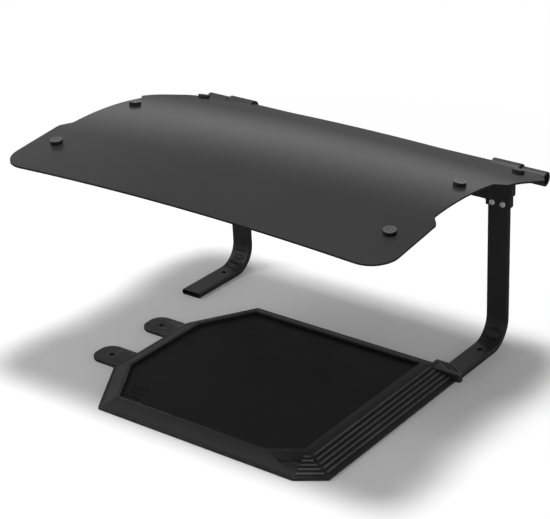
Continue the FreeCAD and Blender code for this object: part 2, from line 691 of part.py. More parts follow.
def plate_corners(inset, ramp_inset=None):
    """Corners of the plate's outline moved in by a distance, or by another one along its ramps."""
    deep = ramp_inset or inset
    chamfer = "atan(corner_rise / corner_run)"
    steep = "tan((90 deg - atan(left_corner_rise / left_corner_run)) / 2)"
    shallow = "tan(atan(left_corner_rise / left_corner_run) / 2)"
    left_run = "plate_left + left_corner_run + (%s) * %s" % (inset, shallow)
    left_rise = "left_corner_rise + (%s) * %s" % (inset, steep)
    across = "((%s) * cos(%s) - (%s)) / sin(%s)" % (inset, chamfer, deep, chamfer)
    along = "((%s) + (corner_run - (%s)) * sin(%s)) / cos(%s)" % (deep, deep, chamfer, chamfer)
    return [
        (left_run, "plate_front + (%s)" % inset),
        (PLATE_RIGHT + " - corner_run + " + across, "plate_front + (%s)" % inset),
        (PLATE_RIGHT + " - (%s)" % deep, "plate_front + " + along),
        (PLATE_RIGHT + " - (%s)" % deep, PLATE_REAR + " - (%s)" % inset),
        (left_run, PLATE_REAR + " - (%s)" % inset),
        ("plate_left + (%s)" % inset, PLATE_REAR + " - (%s)" % left_rise),
        ("plate_left + (%s)" % inset, "plate_front + " + left_rise),
    ]


def block(body, kind, name, frame, size):
    """Box with its corner and sides on a frame, added or taken away."""
    feature = body.newObject("PartDesign::%sBox" % kind, name)
    for side, expression in zip(("Length", "Width", "Height"), size):
        feature.setExpression(side, bound(expression))
    feature.Placement = frame


def ramp(body, name, start, turn, length, front_hip, rear_hip):
    """Even slope up from one edge of the plate, with raised treads along it.

    The edge runs from its start corner in the direction turn; the hips say how
    much shorter each tread is at its ends for every step it lies farther in.
    """
    lip = value("plate_lip_width")
    rise = math.degrees(math.atan(value("plate_height - plate_toe") / value("plate_ramp - plate_lip_width")))
    corner = FreeCAD.Vector(value(start[0]), value(start[1]), value("plate_toe"))
    edge = FreeCAD.Placement(corner, FreeCAD.Rotation(UP, turn))
    slope_frame = edge * FreeCAD.Placement(FreeCAD.Vector(0, lip, 0), FreeCAD.Rotation(ACROSS, rise))
    clear = value("plate_ramp")
    cut = slope_frame * FreeCAD.Placement(FreeCAD.Vector(-clear, -clear, 0), FreeCAD.Rotation())
    block(body, "Subtractive", name + "_slope", cut, ["%s + 2 * plate_ramp" % length, "3 * plate_ramp", "plate_height"])
    for number in range(int(value("bar_count"))):
        inset = value("bar_first + %d * bar_pitch" % number)
        near = (lip + inset) * front_hip + value("tread_margin")
        far = (lip + inset) * rear_hip + value("tread_margin")
        seat = FreeCAD.Vector(near, inset, -value("tread_rise"))
        frame = slope_frame * FreeCAD.Placement(seat, FreeCAD.Rotation())
        size = ["%s - %r" % (length, near + far), "tread_width", "2 * tread_rise"]
        block(body, "Additive", "%s_tread_%d" % (name, number), frame, size)


def ground_plate():
    """Moulded plate: thin lip on the ground, sloped sides, lower floor inside its rim, ramp on the right."""
    body = new_body("ground_plate")
    lip = new_sketch(body, "plate_lip", "XY_Plane")
    polygon(lip, plate_corners("0"))
    pad(body, lip, "plate_toe")
    sides = new_sketch(body, "plate_sides", "XY_Plane", {"z": "plate_toe"})
    polygon(sides, plate_corners("plate_lip_width"))
    pad(body, sides, "plate_height - plate_toe", draft="-plate_draft")
    chamfer = math.degrees(math.atan2(value("corner_rise"), value("corner_run")))
    side_hip, front_hip = (math.tan(math.radians(turn / 2)) for turn in (90 - chamfer, chamfer))
    side_length = "(%s - land_lead - plate_front - corner_rise)" % FOOT_FRONT
    ramp(body, "side_ramp", (PLATE_RIGHT, "plate_front + corner_rise"), 90, side_length, side_hip, 0)
    chamfer_length = "sqrt(corner_run * corner_run + corner_rise * corner_rise)"
    start = (PLATE_RIGHT + " - corner_run", "plate_front")
    ramp(body, "corner_ramp", start, chamfer, chamfer_length, front_hip, side_hip)
    floor = new_sketch(body, "plate_floor", "XY_Plane", {"z": "plate_height + 1"})
    polygon(floor, plate_corners("plate_rim", "plate_ramp + plate_ledge"))
    pocket(body, floor, "plate_drop + 1")
    land = new_sketch(body, "plate_land", "XY_Plane")
    foot_left, foot_right = ("(%s %s (leg_width / 2 + channel_play))" % (LEG_X, sign) for sign in "-+")
    land_right = foot_right + " + land_wall"
    rectangle(land, foot_left + " - land_shelf", FOOT_FRONT + " - land_lead", land_right, PLATE_REAR)
    pad(body, land, "land_height")

    def on_land(along, inward):
        """Point measured along the land's slanted rear corner and in from it."""
        turn = "atan(land_cut_rise / land_cut_run)"
        return ("%s - land_cut_run + (%s) * cos(%s) - (%s) * sin(%s)" % (land_right, along, turn, inward, turn),
                "%s - (%s) * sin(%s) - (%s) * cos(%s)" % (PLATE_REAR, along, turn, inward, turn))

    corner_cut = new_sketch(body, "land_corner", "XY_Plane")
    polygon(corner_cut, [on_land("-land_wall", "0"), on_land("land_cut_run + 5 * land_wall", "0"),
                         on_land("land_cut_run + 5 * land_wall", "-land_cut_run"),
                         on_land("-land_wall", "-land_cut_run")])
    pocket(body, corner_cut)
    channel = new_sketch(body, "foot_channel", "XY_Plane")
    rectangle(channel, foot_left, FOOT_FRONT + " - channel_play", foot_right, PLATE_REAR + " + 1")
    pocket(body, channel, "leg_depth + seat_gap", reverse=True)
    slots = new_sketch(body, "land_slots", "XY_Plane", {"z": "land_height"})
    for number in range(3):
        start = "%d * slot_shift - slot_lead" % -number
        ends = (start, start + " + slot_length")
        sides = ["slot_inset + %d * slot_pitch %s slot_width / 2" % (number, sign) for sign in "-+"]
        corners = [(ends[0], sides[0]), (ends[1], sides[0]), (ends[1], sides[1]), (ends[0], sides[1])]
        rounded_outline(slots, [(*on_land(*corner), "slot_width * 0.45") for corner in corners])
    pocket(body, slots, "slot_depth")
    for number, sign in enumerate("-+", start=1):
        lug = new_sketch(body, "lug_%d" % number, "XY_Plane")
        reach = "plate_left - lug_reach"
        along = "(%s %s lug_offset)" % (PLATE_MIDDLE, sign)
        rounded_outline(lug, [
            ("plate_left + plate_rim", "%s - lug_width / 2" % along, None),
            ("plate_left + plate_rim", "%s + lug_width / 2" % along, None),
            (reach, "%s + lug_width / 2" % along, "lug_width * 0.4"),
            (reach, "%s - lug_width / 2" % along, "lug_width * 0.4"),
        ])
        pad(body, lug, "lug_thickness")
        hole = new_sketch(body, "lug_hole_%d" % number, "XY_Plane")
        circle(hole, "plate_left - lug_hole_reach", along, "lug_hole / 2")
        pocket(body, hole)
    cell_wide = "(%s - plate_left - cells_side - cells_ramp) / cells_across" % PLATE_RIGHT
    cell_deep = "(%s - plate_front - 2 * cells_end) / cells_along" % PLATE_REAR
    hollow = new_sketch(body, "under_cells", "XY_Plane")
    for column in range(int(value("cells_across"))):
        for row in range(int(value("cells_along"))):
            left = "plate_left + cells_side + %d * %s" % (column, cell_wide)
            low = "plate_front + cells_end + %d * %s" % (row, cell_deep)
            rectangle(hollow, left + " + cell_wall", low + " + cell_wall",
                      "%s + %s" % (left, cell_wide), "%s + %s" % (low, cell_deep))
    pocket(body, hollow, "plate_height - plate_drop - plate_skin", reverse=True)


roof_panel()
rear_tube()
cross_bar()
for word, side in SIDES:
    roof_arm(word, side)
    leg(word, side)
    bracket(word, side)
    for end, along in RIVET_ROWS.items():
        push_rivet(end, along, word, side)
    for number, across in enumerate((-1, 1), start=1):
        leg_bolt(word, side, number, across)
        domed_nut(word, side, number, across)
ground_plate()
doc.recompute()

for item in doc.Objects:
    if "Invalid" in item.State or "Error" in item.State:
        raise ValueError("%s is %s" % (item.Name, item.State))
os.makedirs("parts", exist_ok=True)
for body in PARTS:
    shape = body.Shape
    if shape.isNull() or not shape.isValid() or shape.Volume <= 0:
        raise ValueError(body.Label + " has no sound solid")
    print("%-28s solids %d  volume %10.0f  faces %d" % (body.Label, len(shape.Solids), shape.Volume, len(shape.Faces)))
    shape.exportStep("parts/%s.step" % body.Label)
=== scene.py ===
import math

import bpy
from mathutils import Matrix, Vector


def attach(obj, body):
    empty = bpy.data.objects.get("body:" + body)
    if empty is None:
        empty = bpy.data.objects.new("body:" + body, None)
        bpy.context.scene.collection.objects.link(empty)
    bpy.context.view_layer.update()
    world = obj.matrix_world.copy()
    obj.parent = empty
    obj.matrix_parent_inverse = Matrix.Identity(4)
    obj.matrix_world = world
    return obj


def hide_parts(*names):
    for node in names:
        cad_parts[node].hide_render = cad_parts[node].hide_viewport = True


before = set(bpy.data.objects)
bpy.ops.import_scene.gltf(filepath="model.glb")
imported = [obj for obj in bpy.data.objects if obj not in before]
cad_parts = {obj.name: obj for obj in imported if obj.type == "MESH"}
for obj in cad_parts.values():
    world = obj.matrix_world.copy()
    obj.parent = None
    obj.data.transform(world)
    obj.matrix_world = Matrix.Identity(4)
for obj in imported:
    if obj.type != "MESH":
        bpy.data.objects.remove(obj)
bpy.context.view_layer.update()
bpy.ops.object.select_all(action="DESELECT")
bpy.context.scene.view_settings.view_transform = "Standard"


# Camera and studio: the view from the front right, a little above the roof, over a
# seamless pale floor. A wide lamp overhead lights it, with a weak one at the left front.

LOOK_DOWN = 24.5
LOOK_ROUND = 35.1
LAMP_TARGET = Vector((0.0, 0.0, 0.1))

camera_data = bpy.data.cameras.new("camera")
camera_data.sensor_width = 36.0
camera_data.lens = 115.6
camera_data.clip_end = 50.0
camera = bpy.data.objects.new("camera", camera_data)
bpy.context.collection.objects.link(camera)
camera.location = (1.5317, -2.1790, 1.4042)
camera.rotation_euler = (math.radians(90.0 - LOOK_DOWN), 0.0, math.radians(LOOK_ROUND))
bpy.context.scene.camera = camera


def soft_box(name, place, size, power):
    """Square studio lamp turned towards the object."""
    data = bpy.data.lights.new(name, "AREA")
    data.size = size
    data.energy = power
    lamp = bpy.data.objects.new(name, data)
    bpy.context.collection.objects.link(lamp)
    lamp.location = place
    lamp.rotation_euler = (LAMP_TARGET - Vector(place)).to_track_quat("-Z", "Y").to_euler()


soft_box("key_softbox", (-1.9, -1.4, 2.3), 1.0, 18.0)
soft_box("top_softbox", (-0.1, 0.1, 3.2), 0.7, 92.0)


# Floor: a wide pale sheet, lit to full level. Away from the object it fades into the white
# backdrop; near the object it carries the object's shadow.


class Wire:
    """Output of a shader node; arithmetic on it adds Math nodes to its material."""

    def __init__(self, paint, socket):
        self.paint = paint
        self.socket = socket

    def math(self, operation, *others, reflected=False, clamp=False):
        values = (*others, self) if reflected else (self, *others)
        return self.paint.node("ShaderNodeMath", {"operation": operation, "use_clamp": clamp}, *values)

    def __add__(self, other):
        return self.math("ADD", other)

    __radd__ = __add__

    def __sub__(self, other):
        return self.math("SUBTRACT", other)

    def __rsub__(self, other):
        return self.math("SUBTRACT", other, reflected=True)

    def __mul__(self, other):
        return self.math("MULTIPLY", other)

    __rmul__ = __mul__

    def __abs__(self):
        return self.math("ABSOLUTE")

    def clamp(self):
        return self.math("ADD", 0.0, clamp=True)

    def step(self, low, high):
        """0 at low, 1 at high, smooth between."""
        smooth = {"interpolation_type": "SMOOTHSTEP"}
        return self.paint.node("ShaderNodeMapRange", smooth, self, low, high, 0.0, 1.0)


class Paint:
    """Procedural finish: a Principled surface and the nodes that feed it."""

    def __init__(self, name, **settings):
        self.material = bpy.data.materials.new(name)
        self.material.use_nodes = True
        self.tree = self.material.node_tree
        self.surface = self.tree.nodes["Principled BSDF"]
        for socket, number in settings.items():
            self.surface.inputs[socket.replace("_", " ")].default_value = number
        self.place = self.node("ShaderNodeTexCoord", {}, output="Object")

    def feed(self, socket, content):
        if isinstance(content, Wire):
            self.tree.links.new(content.socket, socket)
        elif content is not None:
            socket.default_value = content

    def node(self, kind, settings, *values, output=0, **named):
        """Any node: its settings first, then its sockets in order or by name."""
        made = self.tree.nodes.new(kind)
        for word, setting in settings.items():
            setattr(made, word, setting)
        for socket, content in zip(made.inputs, values):
            self.feed(socket, content)
        for word, content in named.items():
            self.feed(made.inputs[word.replace("_", " ")], content)
        return Wire(self, made.outputs[output])

    def axes(self):
        """The place on the piece as three numbers, in metres."""
        split = self.node("ShaderNodeSeparateXYZ", {}, self.place)
        return [Wire(self, output) for output in split.socket.node.outputs]

    def noise(self, scale, detail=2.0, rough=0.5, stretch=None):
        place = self.place
        if stretch is not None:
            place = self.node("ShaderNodeVectorMath", {"operation": "MULTIPLY"}, place, stretch)
        return self.node("ShaderNodeTexNoise", {}, Vector=place, Scale=scale, Detail=detail, Roughness=rough)

    def edge(self, low=0.54, high=0.66):
        """1 on sharp outer edges, 0 on faces."""
        return self.node("ShaderNodeNewGeometry", {}, output="Pointiness").step(low, high)

    def crevice(self, low=0.49, high=0.42):
        """1 in sharp inner corners, 0 on faces."""
        return self.node("ShaderNodeNewGeometry", {}, output="Pointiness").step(low, high)

    def upward(self, low=0.5, high=1.0):
        """1 where the surface looks up."""
        normal = self.node("ShaderNodeNewGeometry", {}, output="Normal")
        split = self.node("ShaderNodeSeparateXYZ", {}, normal, output=2)
        return split.step(low, high)

    def blend(self, factor, low, high):
        """Colour that goes from low to high with the factor."""
        made = self.tree.nodes.new("ShaderNodeMix")
        made.data_type = "RGBA"
        for number, content in ((0, factor), (6, low), (7, high)):
            self.feed(made.inputs[number], content)
        return Wire(self, made.outputs[2])

    def finish(self, color, roughness, height=None, depth=0.0001):
        """Connect colour, roughness and a height in metres times depth."""
        self.feed(self.surface.inputs["Base Color"], color)
        self.feed(self.surface.inputs["Roughness"], roughness)
        if height is not None:
            bump = self.node("ShaderNodeBump", {}, Strength=1.0, Distance=depth, Height=height)
            self.feed(self.surface.inputs["Normal"], bump)
        return self.material


def grey(level, warm=0.0):
    return (level * (1.0 + warm), level, level * (1.0 - warm), 1.0)


bpy.ops.mesh.primitive_plane_add(size=16.0, location=(0.0, 0.0, 0.0))
floor = bpy.context.object
floor.name = "studio_floor"
floor.location.z = -0.0005
floor.visible_glossy = False
studio = Paint("studio_white", Specular_IOR_Level=0.0)
studio.finish(studio.blend(studio.noise(3.0), grey(0.89), grey(0.92)), 0.95)
rays = studio.tree.nodes.new("ShaderNodeLightPath")
away = studio.node("ShaderNodeVectorMath", {"operation": "LENGTH"}, studio.place, output=1).step(0.7, 1.5)
backdrop = studio.tree.nodes.new("ShaderNodeEmission")
seen = studio.tree.nodes.new("ShaderNodeMixShader")
studio.feed(seen.inputs[0], Wire(studio, rays.outputs["Is Camera Ray"]) * (away * 0.9 + 0.1))
studio.tree.links.new(studio.surface.outputs[0], seen.inputs[1])
studio.tree.links.new(backdrop.outputs[0], seen.inputs[2])
studio.tree.links.new(seen.outputs[0], studio.tree.nodes["Material Output"].inputs["Surface"])
floor.data.materials.append(studio.material)

world = bpy.data.worlds.new("studio_air")
world.use_nodes = True
bpy.context.scene.world = world
air = world.node_tree
background = air.nodes["Background"]
direction = air.nodes.new("ShaderNodeTexCoord")
split = air.nodes.new("ShaderNodeSeparateXYZ")
level = air.nodes.new("ShaderNodeMapRange")
level.inputs["From Min"].default_value = -0.2
level.inputs["From Max"].default_value = 0.8
dome = air.nodes.new("ShaderNodeValToRGB")
dome.color_ramp.interpolation = "EASE"
dome.color_ramp.elements[0].position = 0.0
dome.color_ramp.elements[0].color = grey(0.06)
dome.color_ramp.elements[1].position = 0.75
dome.color_ramp.elements[1].color = grey(0.18)
for height, strength in ((-0.02, 0.08), (0.08, 0.32), (0.22, 1.15), (0.32, 0.80), (0.44, 0.20)):
    stop = dome.color_ramp.elements.new(height + 0.2)
    stop.color = grey(strength)
air.links.new(direction.outputs["Generated"], split.inputs[0])
air.links.new(split.outputs[2], level.inputs["Value"])
air.links.new(level.outputs[0], dome.inputs[0])
air.links.new(dome.outputs[0], background.inputs["Color"])
background.inputs["Strength"].default_value = 1.0
bright = air.nodes.new("ShaderNodeBackground")
bright.inputs["Color"].default_value = grey(1.0)
bright.inputs["Strength"].default_value = 1.0
sight = air.nodes.new("ShaderNodeLightPath")
share = air.nodes.new("ShaderNodeMixShader")
air.links.new(sight.outputs["Is Camera Ray"], share.inputs[0])
air.links.new(background.outputs[0], share.inputs[1])
air.links.new(bright.outputs[0], share.inputs[2])
air.links.new(share.outputs[0], air.nodes["World Output"].inputs["Surface"])


# Roof panel: a 3 mm plastic sheet formed over a wide arc, a little crowned, with a narrower
# waist. It is trimmed to its outline with rounded corners; the cut edge is broken and the
# face has a fine matt grain. Six push rivets hold it on the arms.


def take(piece):
    """Make a piece the only selected and active one."""
    bpy.ops.object.select_all(action="DESELECT")
    piece.select_set(True)
    bpy.context.view_layer.objects.active = piece


def modify(piece, kind, **settings):
    """Add a modifier to a piece and apply it."""
    take(piece)
    modifier = piece.modifiers.new(kind.lower(), kind)
    for word, setting in settings.items():
        setattr(modifier, word, setting)
    bpy.ops.object.modifier_apply(modifier=modifier.name)


def round_edges(piece, width, angle=35.0):
    """Break the sharp edges of a piece with a small round."""
    modify(piece, "BEVEL", width=width, segments=2, limit_method="ANGLE", angle_limit=math.radians(angle))


def deliver(piece, name, material, slot, body, *nodes):
    """Name a finished piece, give it its finish and body and let it stand for its CAD nodes."""
    piece.name = name
    piece.data.materials.clear()
    piece.data.materials.append(material)
    take(piece)
    bpy.ops.object.shade_smooth_by_angle(angle=math.radians(32.0))
    modify(piece, "WEIGHTED_NORMAL", keep_sharp=True, weight=80)
    if nodes:
        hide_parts(*nodes)
    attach(piece, body)


HALF_WIDTH = 0.365
HALF_WAIST = 0.350
THICKNESS = 0.003
FRONT_CORNER = 0.047
REAR_CORNER = 0.036
WAIST_CORNER = 0.0042
RIVET_ROW = 0.320
RIVET_LINES = {"front": -0.166, "middle": 0.037, "rear": 0.231}
RIVET_HOLE = 0.0042
BEND = 0.736
CROWN = 6.055
CREST = (-0.034, 0.39748)
FRONT_RUN = math.radians(7.0)
REAR_RUN = math.radians(16.2)


def panel_height(x, y):
    """Height of the panel's top face: straight front run, arc, straight rear run, crowned."""
    along = y - CREST[0]
    tilt = min(max(math.asin(max(min(along / BEND, 1.0), -1.0)), -FRONT_RUN), REAR_RUN)
    drop = BEND * (1.0 - math.cos(tilt)) + math.tan(tilt) * (along - BEND * math.sin(tilt))
    return CREST[1] - CROWN + math.sqrt((CROWN - drop) ** 2 - x * x)


def panel_seat(x, y):
    """Matrix on the panel's top face with its Z square to it."""
    reach = 0.001
    slope_x = (panel_height(x + reach, y) - panel_height(x - reach, y)) / (2.0 * reach)
    slope_y = (panel_height(x, y + reach) - panel_height(x, y - reach)) / (2.0 * reach)
    normal = Vector((-slope_x, -slope_y, 1.0)).normalized()
    turn = Vector((0.0, 0.0, 1.0)).rotation_difference(normal).to_matrix().to_4x4()
    return Matrix.Translation((x, y, panel_height(x, y))) @ turn


bpy.ops.mesh.primitive_grid_add(x_subdivisions=96, y_subdivisions=90, size=1.0)
panel = bpy.context.object
for vertex in panel.data.vertices:
    x = vertex.co.x * 0.76
    y = vertex.co.y * 0.56
    vertex.co = (x, y, panel_height(x, y))
modify(panel, "SOLIDIFY", thickness=THICKNESS, offset=-1.0)

outline = [
    (HALF_WIDTH, -0.259, FRONT_CORNER),
    (HALF_WIDTH, -0.109, WAIST_CORNER),
    (HALF_WAIST, -0.090, WAIST_CORNER),
    (HALF_WAIST, 0.091, WAIST_CORNER),
    (HALF_WIDTH, 0.110, WAIST_CORNER),
    (HALF_WIDTH, 0.2665, REAR_CORNER),
]
outline += [(-x, y, run) for x, y, run in reversed(outline)]
blank = bpy.data.meshes.new("outline")
blank.from_pydata([(x, y, 0.2) for x, y, run in outline], [], [list(range(len(outline)))])
trim = bpy.data.objects.new("trim", blank)
bpy.context.collection.objects.link(trim)
for run in (FRONT_CORNER, REAR_CORNER, WAIST_CORNER):
    take(trim)
    bpy.ops.object.mode_set(mode="EDIT")
    bpy.ops.mesh.select_mode(type="VERT")
    bpy.ops.mesh.select_all(action="DESELECT")
    bpy.ops.object.mode_set(mode="OBJECT")
    for vertex in trim.data.vertices:
        vertex.select = any(
            abs(vertex.co.x - x) + abs(vertex.co.y - y) < 1e-5 for x, y, size in outline if size == run
        )
    bpy.ops.object.mode_set(mode="EDIT")
    bpy.ops.mesh.bevel(offset=run, segments=14 if run > 0.01 else 4, affect="VERTICES")
    bpy.ops.object.mode_set(mode="OBJECT")
bpy.ops.object.mode_set(mode="EDIT")
bpy.ops.mesh.select_all(action="SELECT")
bpy.ops.mesh.extrude_region_move(TRANSFORM_OT_translate={"value": (0.0, 0.0, 0.4)})
bpy.ops.mesh.select_all(action="SELECT")
bpy.ops.mesh.normals_make_consistent(inside=False)
bpy.ops.object.mode_set(mode="OBJECT")
modify(panel, "BOOLEAN", object=trim, operation="INTERSECT", solver="EXACT")
bpy.data.objects.remove(trim)

RIVET_PLACES = {}
for side, word in ((-1, "left"), (1, "right")):
    for end, y in RIVET_LINES.items():
        RIVET_PLACES[end + "_" + word] = panel_seat(side * RIVET_ROW, y)
for seat in RIVET_PLACES.values():
    bpy.ops.mesh.primitive_cylinder_add(vertices=32, radius=RIVET_HOLE, depth=0.03)
    punch = bpy.context.object
    punch.data.transform(seat)
    modify(panel, "BOOLEAN", object=punch, operation="DIFFERENCE", solver="EXACT")
    bpy.data.objects.remove(punch)
round_edges(panel, 0.0006, 50.0)

sheet = Paint("roof_sheet", IOR=1.46)
grain = sheet.noise(2600.0, 3.0, 0.6)
cloud = sheet.noise(7.0, 3.0, 0.55)
streak = sheet.noise(60.0, 3.0, 0.5, stretch=(1.0, 0.12, 1.0))
rubbed = sheet.edge() * sheet.noise(90.0, 3.0, 0.6).step(0.35, 0.7)
tone = (cloud - 0.5) * 0.35 + (streak - 0.5) * 0.2 + (grain - 0.5) * 0.3 + 0.5
sheet.finish(
    sheet.blend(rubbed * 0.5, sheet.blend(tone.clamp(), grey(0.012), grey(0.020)), grey(0.070)),
    (cloud - 0.5) * 0.08 + (grain - 0.5) * 0.08 + 0.31,
    grain * 0.7 + streak * 0.3,
    0.00003,
)
deliver(panel, "formed_roof_panel", sheet.material, "roof_sheet", "roof", "roof_panel")


# Push rivets: black nylon in three parts. A broad cap with a crisp edge, a pin whose button
# sits in the cap's ring groove, and a shank of four fingers that the pin spreads.


def turned(profile, steps=64, start=0.0, sweep=360.0):
    """Piece turned about Z from a profile of (radius, height) points."""
    mesh = bpy.data.meshes.new("turned")
    first = math.radians(start)
    points = [(radius * math.cos(first), radius * math.sin(first), height) for radius, height in profile]
    mesh.from_pydata(points, [(number, number + 1) for number in range(len(points) - 1)], [])
    piece = bpy.data.objects.new("turned", mesh)
    bpy.context.collection.objects.link(piece)
    take(piece)
    bpy.ops.object.mode_set(mode="EDIT")
    bpy.ops.mesh.select_all(action="SELECT")
    bpy.ops.mesh.spin(steps=steps, angle=math.radians(sweep), center=(0.0, 0.0, 0.0), axis=(0.0, 0.0, 1.0))
    bpy.ops.mesh.select_all(action="SELECT")
    bpy.ops.mesh.remove_doubles(threshold=0.000002)
    bpy.ops.mesh.normals_make_consistent(inside=False)
    bpy.ops.object.mode_set(mode="OBJECT")
    return piece


def joined(pieces):
    """Join several objects into the first one."""
    bpy.ops.object.select_all(action="DESELECT")
    for piece in pieces:
        piece.select_set(True)
    bpy.context.view_layer.objects.active = pieces[0]
    bpy.ops.object.join()
    return pieces[0]


def twin(piece, matrix):
    """Copy of a piece with its own mesh, put in place through a matrix."""
    copy = piece.copy()
    copy.data = piece.data.copy()
    copy.data.transform(matrix)
    bpy.context.collection.objects.link(copy)
    return copy


nylon = Paint("rivet_nylon", IOR=1.5)
mould = nylon.noise(1500.0, 2.0, 0.5)
scuff = nylon.noise(320.0, 4.0, 0.65).step(0.55, 0.8)
# The cap's upward-facing top is painted lighter grey as a painted highlight; the scuff patches add real
# wear.
nylon.finish(
    nylon.blend(scuff * 0.3 + nylon.upward(0.7, 0.95) * 0.6, grey(0.008), grey(0.095)),
    (mould - 0.5) * 0.1 + scuff * 0.12 + 0.34,
    mould,
    0.00004,
)
cap = turned([
    (0.0, 0.0062), (0.0042, 0.0062), (0.0044, 0.0060), (0.0045, 0.0057), (0.0048, 0.0057),
    (0.0049, 0.0061), (0.0051, 0.0063), (0.0056, 0.0064), (0.0098, 0.0064), (0.0102, 0.0063),
    (0.0104, 0.0061), (0.0105, 0.0057), (0.0105, 0.0008), (0.0103, 0.0003), (0.0099, 0.0002),
    (0.0040, 0.0002), (0.0040, -0.0062), (0.0, -0.0062),
])
fingers = []
for quarter in range(4):
    fingers.append(turned([
        (0.0022, -0.0060), (0.0040, -0.0060), (0.0044, -0.0068), (0.0057, -0.0082), (0.0056, -0.0088),
        (0.0034, -0.0140), (0.0029, -0.0143), (0.0022, -0.0135), (0.0022, -0.0060),
    ], steps=12, start=quarter * 90.0 + 8.0, sweep=74.0))
pin = turned([
    (0.0, -0.0060), (0.0019, -0.0060), (0.0019, -0.0138), (0.0015, -0.0142), (0.0, -0.0142),
], steps=24)
rivet = joined([cap, pin] + fingers)
for place, seat in RIVET_PLACES.items():
    name = "push_rivet_" + place
    deliver(twin(rivet, seat), "nylon_" + name, nylon.material, "rivet_plastic", "roof", name)
bpy.data.objects.remove(rivet)


# Frame: bent flat tube, folded plate and round tube, welded and powder coated in satin
# black. The coat has a fine orange-peel skin, thins on edges and gathers dust on top.


def merged_copy(node):
    """Free copy of a CAD node with its faces joined up and flat areas in one piece."""
    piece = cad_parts[node].copy()
    piece.data = piece.data.copy()
    for key in list(piece.keys()):
        del piece[key]
    piece.parent = None
    bpy.context.collection.objects.link(piece)
    take(piece)
    bpy.ops.mesh.customdata_custom_splitnormals_clear()
    bpy.ops.object.mode_set(mode="EDIT")
    bpy.ops.mesh.select_all(action="SELECT")
    bpy.ops.mesh.remove_doubles(threshold=0.000002)
    bpy.ops.mesh.dissolve_limited(angle_limit=math.radians(0.5))
    bpy.ops.mesh.normals_make_consistent(inside=False)
    bpy.ops.object.mode_set(mode="OBJECT")
    return piece


coat = Paint("powder_coat", IOR=1.43)
peel = coat.noise(900.0, 2.0, 0.5)
dust = coat.noise(24.0, 4.0, 0.6)
settled = coat.upward(0.6, 0.98) * coat.noise(160.0, 5.0, 0.7).step(0.42, 0.75)
thin = coat.edge() * coat.noise(140.0, 3.0, 0.6).step(0.4, 0.7)
coat.finish(
    coat.blend(
        (thin * 0.55 + settled * 0.25).clamp(),
        coat.blend(((dust - 0.5) * 0.8 + 0.5).clamp(), grey(0.019), grey(0.030)),
        grey(0.11),
    ),
    (dust - 0.5) * 0.2 + (peel - 0.5) * 0.08 + settled * 0.12 + 0.48,
    peel,
    0.00010,
)


def frame_piece(node, body, width=0.0004):
    piece = merged_copy(node)
    round_edges(piece, width)
    deliver(piece, "coated_" + node, coat.material, "frame_steel", body, node)


frame_piece("rear_tube", "roof", 0.0003)
frame_piece("cross_bar", "stand", 0.0002)
for word in ("left", "right"):
    frame_piece("roof_arm_" + word, "roof", 0.0003)
    frame_piece("leg_bracket_" + word, "stand", 0.0005)


# Legs: 40 by 10 mm flat tube of 1.5 mm wall, pressed round a former. The inner wall buckles
# a little at the bend, which leaves two shallow creases across its middle.

LEG_MIDDLE = 0.2725
BEND_AXIS = Vector((0.0, 0.2390, 0.048))
INNER_WALL = 0.042
BUCKLE = 0.0023
CREASE_TURN = -60.0

for side, word in ((-1, "left"), (1, "right")):
    node = "leg_" + word
    leg = merged_copy(node)
    middle = side * LEG_MIDDLE
    cuts = [((middle + number * 0.0026, 0.0, 0.0), (1.0, 0.0, 0.0)) for number in range(-6, 7)]
    for number in range(1, 38):
        turn = math.radians(-90.0 + 2.5 * number)
        cuts.append((BEND_AXIS, (0.0, -math.sin(turn), math.cos(turn))))
    bpy.ops.object.mode_set(mode="EDIT")
    for point, normal in cuts:
        bpy.ops.mesh.select_all(action="SELECT")
        bpy.ops.mesh.bisect(plane_co=point, plane_no=normal)
    bpy.ops.object.mode_set(mode="OBJECT")
    for vertex in leg.data.vertices:
        spot = vertex.co - BEND_AXIS
        radius = math.hypot(spot.y, spot.z)
        turn = math.degrees(math.atan2(spot.z, spot.y))
        if radius > INNER_WALL or spot.y < 0.0 or turn > 4.6:
            continue
        across = math.exp(-(((vertex.co.x - middle) / 0.011) ** 4))
        around = math.exp(-(((turn + 48.0) / 27.0) ** 4))
        buckle = BUCKLE * across * around * math.sin(math.radians((turn - CREASE_TURN) * 12.0))
        vertex.co.y += spot.y / radius * buckle
        vertex.co.z += spot.z / radius * buckle
    round_edges(leg, 0.0003, 45.0)
    deliver(leg, "bent_" + node, coat.material, "frame_steel", "stand", node)


# Weld beads: the cross bar is welded all round to the side of each bracket. The coat covers
# the rippled bead.

LEAN = math.radians(4.6)
LEG_FRONT = 0.281
BOLT_HEIGHT = 0.2695


def on_frame(side):
    """Matrix on the front face of a leg, or of the bar between them, at the bolts' height."""
    place = (side * LEG_MIDDLE, LEG_FRONT - math.tan(LEAN) * BOLT_HEIGHT, BOLT_HEIGHT)
    return Matrix.Translation(place) @ Matrix.Rotation(LEAN, 4, "X")


